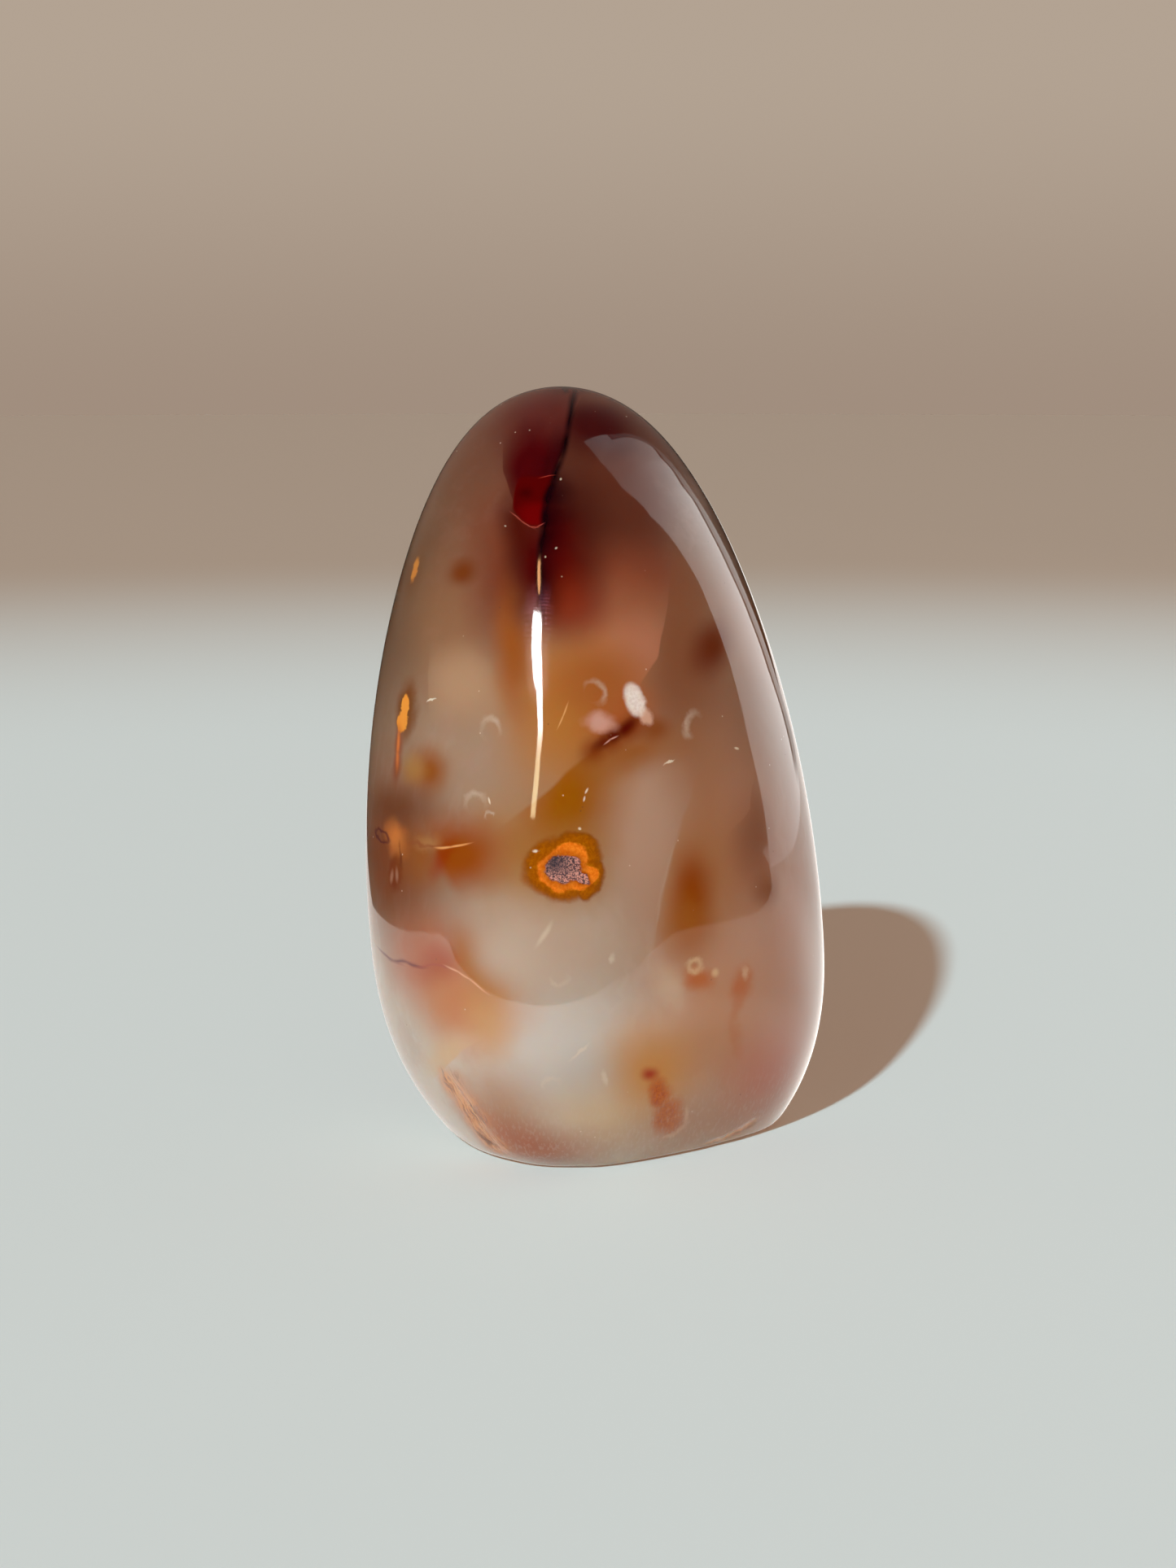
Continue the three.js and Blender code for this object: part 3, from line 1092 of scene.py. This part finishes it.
# %% The left side
left_amber = around(158, 44)
lay(hue(156, 92, 40), spot(left_amber, 7, 12, turn=-10, soft=0.95), 0.8)
left_brown = around(160, 30)
lay(hue(116, 72, 50), spot(left_brown, 12, 16, turn=12, soft=0.9, deep=6), 0.85)
left_milk = around(145, 52)
lay(hue(150, 122, 104), spot(left_milk, 12, 18, soft=0.9, deep=5), 0.7)
left_lozenge = around(152, 48)
lay(hue(122, 68, 28), spot(left_lozenge, 2.8, 6.4, turn=8, soft=0.5, field=ragged), 0.85)
lay(hue(208, 130, 52), spot(left_lozenge, 1.2, 4.0, turn=8, soft=0.2, field=bitten))
left_vein = [around(148, 20), around(154, 25), around(160, 29), around(168, 33)]
lay(hue(146, 66, 30), line(left_vein, 1.2, soft=0.9), 0.85)
lay(hue(220, 150, 96), line(left_vein, 0.24, soft=0.6, field=bitten), 0.7)
left_rose = around(150, 11)
lay(hue(184, 122, 104), spot(left_rose, 14, 12, soft=0.95, deep=6), 0.7)
tell("the left side")

# %% The right side
right_amber = around(8, 52)
lay(hue(160, 96, 50), spot(right_amber, 8, 13, turn=10, soft=0.95), 0.8)
right_cloud = around(28, 34)
lay(hue(148, 82, 30), spot(right_cloud, 7, 10, turn=-15, soft=0.95), 0.85)
right_milk = around(12, 20)
lay(hue(186, 156, 138), spot(right_milk, 14, 14, soft=0.9, deep=5), 0.7)
right_pod = around(20, 44)
lay(hue(222, 204, 190), spot(right_pod, 1.8, 2.8, turn=-25, soft=0.25, field=ragged), 0.9)
right_line = [around(38, 60), around(33, 53), around(35, 46), around(30, 40)]
lay(hue(120, 50, 30), line(right_line, 0.8, soft=0.9), 0.8)
tell("the right side")

# %% [markdown]
# Last come the small things that catch the eye on a polished stone: moon shaped bruises from tumbling,
# pale chips, pale flecks that are partly painted glints of small pits, and fine dust of quartz. The dust
# is the middles of the cells of a Voronoi texture. The surface passes through few of them, and a random
# number in each cell leaves out more.

# %% Bruises
arch = seen(602, 894)
lower_arch = seen(583, 986)
loop = seen(600, 1001)
sickle = seen(850, 890)
wave = seen(732, 850)
cup = seen(687, 1204)
foot_arch = seen(677, 1333)
back_arch = around(88, 22)
side_arch = around(10, 34)
bruises = either(
    crescent(arch, 2.1, 2.5, turn=8, thick=0.34),
    crescent(lower_arch, 2.3, 2.2, turn=10, thick=0.28),
    crescent(loop, 0.9, 0.9, turn=20, thick=0.2),
    crescent(sickle, 3.0, 1.7, turn=75, thick=0.42),
    crescent(wave, 2.6, 2.0, turn=-60, thick=0.24),
    crescent(cup, 2.0, 1.5, turn=180, thick=0.24),
    crescent(foot_arch, 2.0, 1.5, turn=5, thick=0.28),
    crescent(back_arch, 2.2, 1.8, turn=30, thick=0.3),
    crescent(side_arch, 2.0, 2.2, turn=-20, thick=0.3),
)
uneven = ramp(veil, 0.34, 0.6, 0.35, 1.0)
lay(hue(208, 182, 162), both(bruises, uneven), 0.6)
tell("the bruises")

# %% Pale flecks and painted glints
row_top = seen(725, 967)
row_middle = seen(722, 977)
row_low = seen(713, 1016)
by_the_eye = seen(658, 1046)
on_the_right = seen(907, 921)
under_the_drift = seen(822, 937)
winged = seen(529, 860)
by_the_arch = seen(598, 985)
beside_the_crack = seen(692, 588)
over_the_sliver = seen(686, 676)
in_the_dark = seen(673, 685)
on_the_brown = seen(621, 648)
flecks_and_glints = either(
    spot(row_top, 0.2, 0.6, turn=-25, soft=0.5),
    spot(row_middle, 0.18, 0.5, turn=-15, soft=0.5),
    spot(row_low, 0.32, 0.28, soft=0.5),
    spot(by_the_eye, 0.6, 0.26, soft=0.5, field=bitten),
    spot(on_the_right, 0.5, 0.26, turn=-20, soft=0.5),
    spot(under_the_drift, 1.0, 0.22, turn=30, soft=0.5, field=bitten),
    spot(winged, 0.9, 0.2, turn=15, soft=0.5, field=bitten),
    spot(by_the_arch, 0.18, 0.6, turn=20, soft=0.5),
    spot(beside_the_crack, 0.15, 0.25, turn=-30, soft=1.0),
    spot(over_the_sliver, 0.18, 0.15, turn=30, soft=1.0),
    spot(in_the_dark, 0.14, 0.14, soft=1.0),
    spot(on_the_brown, 0.14, 0.14, soft=1.0),
)
# pale flecks, partly painted glints where small pits catch the light
lay(hue(238, 216, 192), flecks_and_glints, 0.8)
tell("the flecks")

# %% Shards
upright = seen(752, 1177)
long_shard = seen(713, 1293)
split_chip = seen(744, 1325)
slanted = seen(666, 1149)
shards = either(
    spot(upright, 0.5, 0.9, turn=-10, soft=0.7, field=bitten),
    spot(long_shard, 0.3, 2.0, turn=-48, soft=0.8, field=bitten),
    spot(split_chip, 0.6, 1.4, turn=12, soft=0.7, field=bitten),
    spot(slanted, 0.4, 2.2, turn=-35, soft=0.9),
)
lay(hue(216, 192, 170), shards, 0.6)
tell("the shards")

# %% Dust
dust_cells = node("TexVoronoi", {"feature": "F1"}, {"Vector": place_mm, "Scale": 0.6})
dust_pick = parts(dust_cells.outputs["Color"])[0]


def grains(start, end):
    """The middles of the cells whose random number is on the far side of the step."""
    middles = ramp(dust_cells.outputs["Distance"], 0.03, 0.07, 1.0, 0.0)
    return both(middles, ramp(dust_pick, start, end))


lay(hue(232, 206, 182), grains(0.72, 0.74), 0.55)
lay(hue(92, 60, 50), grains(0.12, 0.1), 0.5)
tell("the dust")

# %% [markdown]
# The polish is even, but not everywhere: it dulls where the sponge of the eye and the rust vein lie
# open, and at the ground foot. Near the foot fine upright strokes of the grinding are left.

# %% Gloss
strokes_place = node("Mapping", {}, {"Vector": place_mm, "Scale": (3.2, 3.2, 0.8)}).outputs[0]
strokes = noise(strokes_place, 1.0)
near_the_foot = ramp(height, 2, 11, 1.0, 0.0)
lay(hue(206, 186, 172), both(ramp(strokes, 0.5, 0.66), near_the_foot), 0.16)

POLISHED = 0.035  # the roughness of the best places, and what each dull place adds to it
POLISH_VARIES = 0.025
STROKES_ADD = 0.1
OPEN_PLACES_ADD = 0.35
GROUND_FOOT_ADDS = 0.4
polish = maths("MULTIPLY_ADD", ramp(veil, 0.35, 0.75), POLISH_VARIES, POLISHED)
stroked = both(ramp(strokes, 0.45, 0.65), near_the_foot)
polish = maths("MULTIPLY_ADD", stroked, STROKES_ADD, polish)
rough_places = either(open_crystals, vein_pits)
polish = maths("MULTIPLY_ADD", rough_places, OPEN_PLACES_ADD, polish)
foot_share = ramp(height, 0.05, 0.5, 1.0, 0.0)
polish = maths("MULTIPLY_ADD", foot_share, GROUND_FOOT_ADDS, polish)
relief_share = maths("MULTIPLY", rough_places, 0.5)
relief = node(
    "Bump",
    {},
    {"Strength": relief_share, "Distance": 0.1 * MM, "Height": crystal_grain},
).outputs[0]

# %% The finish of the stone
surface = node(
    "BsdfPrincipled",
    {"subsurface_method": "RANDOM_WALK"},
    {
        "Base Color": colour,
        "Roughness": polish,
        "IOR": 1.54,
        "Subsurface Weight": 1.0,
        "Subsurface Radius": (1.0, 0.5, 0.3),
        "Subsurface Scale": 2.5 * MM,
        "Normal": relief,
    },
)
result = node("OutputMaterial")
tree.links.new(surface.outputs["BSDF"], result.inputs["Surface"])
stone.data.materials.clear()
stone.data.materials.append(finish)
print("the finish has", len(tree.nodes), "nodes")

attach(stone, "root")
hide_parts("stone")

# %% [markdown]
# ## Light and floor
#
# A polished stone is seen as much by what it mirrors as by its own colour, so the two are lit apart, as
# in a product studio. A floor, a sun lamp and a soft room light the stone itself. What the polish
# mirrors is built of glowing sheets that only the polish can see: the near floor, which ends in a crisp
# line across the foot, a tall panel for the pale band on the right, and a narrow strip for the white
# line along the ridge.

# %% The floor, with a painted pool of light round the stone
PALE = hue(226, 229, 228)
BEIGE = hue(187, 163, 146)
PALE_TO = 0.26
BEIGE_FROM = 0.75
FLOOR_RADIUS = 3

bpy.ops.object.select_all(action="DESELECT")
bpy.ops.mesh.primitive_circle_add(vertices=128, radius=FLOOR_RADIUS, fill_type="NGON")
floor = bpy.context.object
floor.name = "floor"
floor.visible_glossy = False
pale_floor = bpy.data.materials.new("pale_floor")
pale_floor.use_nodes = True
tree = pale_floor.node_tree
floor_surface = tree.nodes["Principled BSDF"]
from_the_middle = node("VectorMath", {"operation": "LENGTH"}, {0: node("TexCoord").outputs["Object"]})
# painted pool of light: the floor colour is paler near the stone and fades to beige farther out
fading = ramp(from_the_middle.outputs["Value"], PALE_TO, BEIGE_FROM)
tree.links.new(mix(fading, PALE, BEIGE), floor_surface.inputs["Base Color"])
floor_surface.inputs["Roughness"].default_value = 0.85
floor.data.materials.append(pale_floor)
print("the floor is pale up to", PALE_TO, "m from the stone")


# %% What only the polish sees
def glowing(name, tone, strength):
    """A material that gives off light of its own. The strength is a number or a function of nodes."""
    global tree
    made = bpy.data.materials.new(name)
    made.use_nodes = True
    tree = made.node_tree
    tree.nodes.clear()
    if callable(strength):
        strength = strength()
    light = node("Emission", {}, {"Color": tone, "Strength": strength})
    tree.links.new(light.outputs[0], node("OutputMaterial").inputs["Surface"])
    return made


def mirrored_only(sheet, material):
    """Hides a glowing sheet from all but the mirror images in the polish."""
    sheet.data.materials.append(material)
    sheet.visible_camera = False
    sheet.visible_diffuse = False
    sheet.visible_transmission = False
    sheet.visible_volume_scatter = False
    sheet.visible_shadow = False


# %% Where the polish throws a sight line
TINY = 0.001 * MM
polish_mesh = stone.data
polish_tree = BVHTree.FromPolygons(
    [v.co for v in polish_mesh.vertices],
    [p.vertices for p in polish_mesh.polygons],
)


def off_the_polish(px, py):
    """Where the sight line of a pixel meets the polish, and the direction in which it goes on."""
    point, _, face, _ = polish_tree.ray_cast(VIEWER, through(px, py))
    corners = [polish_mesh.vertices[i] for i in polish_mesh.polygons[face].vertices]
    weights = [1 / ((corner.co - point).length + TINY) for corner in corners]
    facing = sum((corner.normal * w for corner, w in zip(corners, weights)), Vector()).normalized()
    return point, through(px, py).reflect(facing)


print("the polish is measured by", len(polish_mesh.polygons), "faces")

# %% The outline of the mirrored floor
FLATTEST = -0.03  # a sight line that falls less than this would meet the floor too far away


def met_on_floor(px, py):
    """The place of the floor that the polish shows at a pixel."""
    point, onward = off_the_polish(px, py)
    return point - onward * (point.z / min(onward.z, FLATTEST))


EDGE_OF_FLOOR = [(458, 1112), (477, 1134), (503, 1145), (540, 1146), (552, 1158), (560, 1180),
                 (583, 1207), (600, 1218), (633, 1230), (670, 1236), (707, 1230), (733, 1220),
                 (757, 1203), (780, 1195), (800, 1168), (830, 1146), (860, 1137), (905, 1130),
                 (930, 1121), (944, 1106), (948, 1090), (946, 1070), (944, 1052)]
edge = [met_on_floor(px, py) for px, py in EDGE_OF_FLOOR]
print("the mirrored floor ends at", [[round(c / MM) for c in place.xy] for place in edge])
FAR = 3.5  # metres, beyond all that the polish shows
around_the_back = [Vector((FAR, edge[-1].y, 0)), Vector((FAR, FAR, 0)), Vector((edge[0].x, FAR, 0))]
below = Vector((0, 0, -0.1 * MM))
near_mesh = bpy.data.meshes.new("near_floor")
outline = [place * Vector((1, 1, 0)) + below for place in edge + around_the_back]
near_mesh.from_pydata(outline, [], [list(range(len(outline)))])
near_floor = bpy.data.objects.new("near_floor", near_mesh)
bpy.context.collection.objects.link(near_floor)

# %% The glow of the mirrored floor
FLOOR_FRONT = 2.0
FLOOR_BACK = 0.9
FLOOR_BACK_RIGHT = 2.3
FLOOR_FAR_RIGHT = 1.6
DARK_PLACE = Vector((15, -22, 0)) * MM  # close in front of the foot
DARK_WIDE = 40 * MM
DARK_DEEP = 25 * MM


def floor_glow():
    """Brightest in the middle in front, dimmer to both sides and behind, dark in the dark place."""
    place = node("TexCoord").outputs["Object"]
    x, y, _ = parts(place)
    to_the_right = ramp(x, 20 * MM, 90 * MM, 0.0, -1.3)
    to_the_left = ramp(x, -40 * MM, -110 * MM, 0.0, -0.7)
    front = maths("ADD", maths("ADD", to_the_right, to_the_left), FLOOR_FRONT)
    back_left = both(ramp(x, 0, -20 * MM), ramp(y, -30 * MM, 10 * MM))
    sideways = maths("DIVIDE", y, x)
    back_right = both(ramp(x, 8 * MM, 30 * MM), ramp(sideways, -0.15, 0.5))
    right_tone = ramp(y, 40 * MM, 150 * MM, FLOOR_BACK_RIGHT, FLOOR_FAR_RIGHT)
    glow_here = maths("MULTIPLY_ADD", back_left, maths("SUBTRACT", FLOOR_BACK, front), front)
    to_right_tone = maths("SUBTRACT", right_tone, glow_here)
    glow_here = maths("MULTIPLY_ADD", back_right, to_right_tone, glow_here)
    off_the_dark = node("VectorMath", {"operation": "SUBTRACT"}, {0: place, 1: DARK_PLACE})
    stretched = node(
        "VectorMath",
        {"operation": "MULTIPLY"},
        {0: off_the_dark.outputs[0], 1: (1 / DARK_WIDE, 1 / DARK_DEEP, 0)},
    )
    away = node("VectorMath", {"operation": "LENGTH"}, {0: stretched.outputs[0]}).outputs["Value"]
    return both(glow_here, ramp(away, 0.3, 1.5, 0.2, 1.0))


mirrored_only(near_floor, glowing("bright_floor", hue(255, 250, 244), floor_glow))
print("the glow of the mirrored floor has", len(tree.nodes), "nodes")

# %% [markdown]
# The pale band on the right and the white line on the ridge are images of lights. To put each where it is
# wanted, its outline is found the way a billiard ball runs: from the eye to the polish, off the polish,
# and on to the place where the light hangs. Two rows of pixels, one for each side of the image, so give
# the shape of the light.

# %% A light built from its image
def light_seen(name, left_side, right_side, away, material):
    """A glowing sheet whose mirror image runs between two rows of pixels. U goes across, V down."""
    corners = []
    for pair in zip(left_side, right_side):
        for px, py in pair:
            point, onward = off_the_polish(px, py)
            corners.append(point + onward * away)
    rows = len(left_side) - 1
    faces = [(2 * i, 2 * i + 1, 2 * i + 3, 2 * i + 2) for i in range(rows)]
    mesh = bpy.data.meshes.new(name)
    mesh.from_pydata(corners, [], faces)
    across_and_down = mesh.uv_layers.new(name="UVMap")
    for corner in mesh.loops:
        row, column = divmod(corner.vertex_index, 2)
        across_and_down.data[corner.index].uv = (column, row / rows)
    sheet = bpy.data.objects.new(name, mesh)
    bpy.context.collection.objects.link(sheet)
    mirrored_only(sheet, material)
    print("the", name, "is a sheet of", rows, "faces")


def on_the_sheet():
    """Across and down a sheet, each from 0 to 1."""
    return parts(node("TexCoord").outputs["UV"])[:2]


# %% The tall panel
PANEL_AWAY = 0.8
GAP_AT = 0.77  # as a share of the way across
PANEL_TONE = (1, 0.98, 0.96, 1)
PANEL_LEFT = [(717, 543), (738, 568), (765, 600), (800, 635), (830, 668), (858, 715), (880, 765),
              (898, 820), (918, 900), (939, 1000), (948, 1088)]
PANEL_RIGHT = [(756, 534), (799, 545), (828, 572), (855, 610), (880, 652), (909, 712), (934, 774),
               (953, 830), (974, 905), (992, 1000), (1004, 1088)]


def panel_glow():
    """Dim at its top and on its left side, with a dark gap and a dim strip along its right side."""
    across, down = on_the_sheet()
    upper = ramp(down, 0.12, 0.42, 1.0, 3.0)
    lower = ramp(down, 0.65, 1.0, 0.0, -0.7)
    left_side = ramp(across, 0.0, 0.5, 0.7, 1.0)
    gap = ramp(maths("ABSOLUTE", maths("SUBTRACT", across, GAP_AT)), 0.015, 0.035, 0.1, 1.0)
    dim_strip = ramp(across, GAP_AT - 0.01, GAP_AT + 0.01, 1.0, 0.35)
    above_the_foot = ramp(down, 0.8, 0.88)
    right_side = maths("MAXIMUM", both(gap, dim_strip), above_the_foot)
    return both(maths("ADD", upper, lower), left_side, right_side)


panel_light = glowing("panel_light", PANEL_TONE, panel_glow)
light_seen("panel", PANEL_LEFT, PANEL_RIGHT, PANEL_AWAY, panel_light)

# %% The strip on the ridge
STRIP_AWAY = 0.6
STRIP_LEFT = [(656, 752), (654, 765), (653, 800), (656.5, 830), (658.5, 850), (660, 875),
              (660.5, 900), (659, 930), (655.5, 960), (652, 1005)]
STRIP_RIGHT = [(664, 754), (665.5, 765), (664.5, 800), (665.5, 830), (666, 850), (666, 875),
               (665.5, 900), (664.5, 930), (661, 960), (656, 1005)]
WHITE = (1, 1, 1, 1)
CANDLE = (1, 0.86, 0.5, 1)


def strip_glow():
    """Strongest at its top, much weaker at its thin lower end."""
    _, down = on_the_sheet()
    return ramp(down, 0.45, 0.8, 40.0, 11.0)


strip_light = glowing("strip_light", WHITE, strip_glow)
strip_tone = mix(ramp(on_the_sheet()[1], 0.6, 0.85), WHITE, CANDLE)
tree.links.new(strip_tone, tree.nodes["Emission"].inputs["Color"])
light_seen("strip", STRIP_LEFT, STRIP_RIGHT, STRIP_AWAY, strip_light)

# %% The short sliver above the strip
FLAME = (1, 0.47, 0.2, 1)
sliver_light = glowing("sliver_light", FLAME, 17.0)
SLIVER_LEFT = [(661.5, 689), (660.5, 701), (661, 716), (662, 729)]
SLIVER_RIGHT = [(663.5, 689), (663.5, 701), (663.5, 716), (663, 729)]
light_seen("sliver", SLIVER_LEFT, SLIVER_RIGHT, STRIP_AWAY, sliver_light)

# %% The comb of fine teeth on both sides of the strip
COMB_LEFT = [(648, 700), (642, 724), (640, 755), (640, 800), (644, 840), (650, 876)]
COMB_RIGHT = [(676, 700), (683, 724), (684, 755), (680, 800), (679, 840), (674, 876)]
TEETH = 34
TEETH_BEND = 9.0
COMB_AWAY = STRIP_AWAY + 0.02


def comb_glow():
    """Fine curved teeth that fade outwards, over a faint haze."""
    across, down = on_the_sheet()
    off_the_middle = maths("ABSOLUTE", maths("SUBTRACT", across, 0.5))
    bend = maths("MULTIPLY", off_the_middle, TEETH_BEND)
    turns = maths("MULTIPLY_ADD", down, TEETH * 2 * math.pi, bend)
    teeth = ramp(maths("SINE", turns), 0.2, 0.95)
    broken = noise(node("TexCoord").outputs["Object"], 45.0, 3.0)
    teeth = both(teeth, ramp(broken, 0.36, 0.56, 0.3, 1.0))
    fading = ramp(off_the_middle, 0.18, 0.5, 1.0, 0.0)
    ends = both(ramp(down, 0.12, 0.4), ramp(down, 0.8, 1.0, 1.0, 0.0))
    return both(maths("MULTIPLY_ADD", teeth, 7.0, 0.1), fading, ends)


comb_light = glowing("comb_light", WHITE, comb_glow)
PURPLE_END = (1, 0.34, 0.46, 1)
ROSE_END = (1, 0.74, 0.66, 1)
comb_tone = mix(ramp(on_the_sheet()[1], 0.3, 0.7), PURPLE_END, ROSE_END)
tree.links.new(comb_tone, tree.nodes["Emission"].inputs["Color"])
light_seen("comb", COMB_LEFT, COMB_RIGHT, COMB_AWAY, comb_light)

# %% [markdown]
# The sun comes from the front left and throws the shadow. The light that filters through the stone
# and back from a warm room makes that shadow brown, which a weak warm lamp without a shadow of its own
# stands for.

# %% The lamps
TO_SUN = Vector((-0.34, -0.72, 0.605)).normalized()
lamp_turn = TO_SUN.to_track_quat("Z", "Y").to_euler()
bpy.ops.object.light_add(type="SUN", rotation=lamp_turn)
sun = bpy.context.object
sun.data.energy = 3.2
sun.data.angle = math.radians(2.2)
sun.data.color = (0.63, 0.91, 1.0)
sun.visible_glossy = False

bpy.ops.object.light_add(type="SUN", rotation=lamp_turn)
warm_lamp = bpy.context.object
warm_lamp.data.energy = 0.72
warm_lamp.data.color = (1.0, 0.42, 0.18)
warm_lamp.data.use_shadow = False
warm_lamp.visible_glossy = False
print("the sun stands", round(math.degrees(math.asin(TO_SUN.z))), "degrees above the floor")

# %% [markdown]
# The room round the floor is one soft tone. What the polish mirrors of it is dark in front, so that the
# reds stay deep, and a little brighter behind.

# %% The room
world = bpy.data.worlds.new("room")
bpy.context.scene.world = world
world.use_nodes = True
tree = world.node_tree
background = tree.nodes["Background"]
DARK_FRONT = (0.012, 0.011, 0.011, 1)
SOFT_BACK = (0.20, 0.165, 0.14, 1)
ROOM_LIGHT = (0.26, 0.195, 0.15, 1)
BACKDROP_LOW = (0.355, 0.27, 0.21, 1)
BACKDROP_HIGH = (0.45, 0.365, 0.29, 1)
_, backwards, upwards = parts(node("TexCoord").outputs["Generated"])
behind = both(ramp(backwards, 0.1, 0.7), ramp(upwards, 0.0, 0.3))
mirrored = mix(behind, DARK_FRONT, SOFT_BACK)
path = node("LightPath")
room = mix(path.outputs["Is Glossy Ray"], ROOM_LIGHT, mirrored)
backdrop = mix(ramp(upwards, -0.03, 0.12), BACKDROP_LOW, BACKDROP_HIGH)
room = mix(path.outputs["Is Camera Ray"], room, backdrop)
tree.links.new(room, background.inputs["Color"])
bpy.context.scene.view_settings.view_transform = "Standard"
print("the room has", len(tree.nodes), "nodes")
